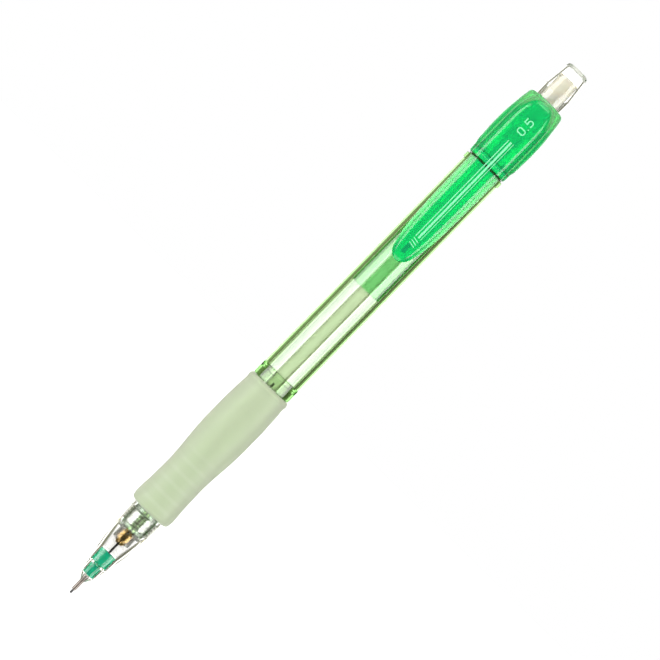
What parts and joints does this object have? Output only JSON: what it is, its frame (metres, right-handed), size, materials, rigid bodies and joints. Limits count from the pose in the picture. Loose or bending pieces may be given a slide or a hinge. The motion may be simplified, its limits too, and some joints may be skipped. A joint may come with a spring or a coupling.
{
  "type": "mechanical pencil",
  "caption": "Push-button mechanical pencil in translucent green plastic, with a frosted grip, clear cone tip, sliding sleeve, brass clutch, pocket clip and capped eraser.",
  "frame": {"origin": "middle of the lead's flat end, on the pencil's axis", "axes": "+Z along the axis from the writing point to the push button; -Y is the side the pocket clip is on; +X completes a right-handed frame"},
  "size_m": [0.0104, 0.0114, 0.1439],
  "materials": {
    "clear_plastic": "clear moulded styrene, glossy, fine mould lines",
    "pale_green_plastic": "pale green transparent moulded plastic, polished",
    "deep_green_plastic": "deep emerald translucent moulded plastic, polished",
    "liner_green_plastic": "mid green translucent moulded plastic",
    "grip_rubber": "frosted milky translucent elastomer, fine matt texture",
    "teal_plastic": "teal opaque-looking moulded plastic, satin",
    "tube_plastic": "thin translucent green extruded tube",
    "white_plastic": "natural white acetal, satin",
    "smoke_plastic": "clear smoky moulded plastic",
    "brass": "turned brass with fine lathe marks and polished streaks",
    "steel": "bright drawn steel",
    "lead": "graphite polymer lead, dark satin grey",
    "retainer_rubber": "black moulded rubber",
    "eraser": "off-white vinyl eraser, fine powdery grain"
  },
  "bodies": {
    "barrel": {"barrel": "pale_green_plastic", "front_barrel": "pale_green_plastic", "grip": "grip_rubber", "inner_sleeve": "liner_green_plastic", "cap": "deep_green_plastic", "guide_sleeve": "clear_plastic", "chuck_spring": "steel"},
    "tip": {"tip_cone": "clear_plastic"},
    "slider": {"sleeve_slider": "teal_plastic", "lead_sleeve": "steel", "lead_retainer": "retainer_rubber"},
    "plunger": {"chuck": "brass", "chuck_connector": "white_plastic", "lead_tube": "tube_plastic", "eraser_holder": "smoke_plastic"},
    "ring": {"clutch_ring": "brass"},
    "lead": {"lead": "lead"},
    "eraser": {"eraser": "eraser"},
    "button": {"button": "clear_plastic"},
    "clip": {"clip": "deep_green_plastic"}
  },
  "joints": [
    {"name": "tip_unscrew", "type": "hinge", "parent": "barrel", "child": "tip", "pos_m": [0, 0, 0.0195], "axis": [0, 0, 1], "range_deg": [0, 1440]},
    {"name": "sleeve_retract", "type": "slide", "parent": "tip", "child": "slider", "axis": [0, 0, 1], "range_m": [0, 0.0022], "stiffness_N_per_m": 20},
    {"name": "push", "type": "slide", "parent": "barrel", "child": "plunger", "axis": [0, 0, -1], "range_m": [0, 0.002], "stiffness_N_per_m": 600, "springref_m": -0.004, "deforming": ["chuck_spring"]},
    {"name": "ring_follow", "type": "slide", "parent": "barrel", "child": "ring", "axis": [0, 0, -1], "range_m": [0, 0.0009]},
    {"name": "lead_feed", "type": "slide", "parent": "plunger", "child": "lead", "axis": [0, 0, -1], "range_m": [-0.0009, 0.01], "stiffness_N_per_m": 20},
    {"name": "button_pull", "type": "slide", "parent": "plunger", "child": "button", "axis": [0, 0, 1], "range_m": [0, 0.0145], "stiffness_N_per_m": 20},
    {"name": "eraser_pull", "type": "slide", "parent": "plunger", "child": "eraser", "axis": [0, 0, 1], "range_m": [0, 0.0066]},
    {"name": "clip_flex", "type": "hinge", "parent": "barrel", "child": "clip", "pos_m": [0, -0.0055, 0.1174], "axis": [-1, 0, 0], "range_deg": [0, 6], "stiffness_Nm_per_rad": 0.4}
  ],
  "couplings": [
    {"joint": "ring_follow", "follows": "push", "ratio": 0.4},
    {"joint": "eraser_pull", "follows": "button_pull", "ratio": 0.45}
  ]
}
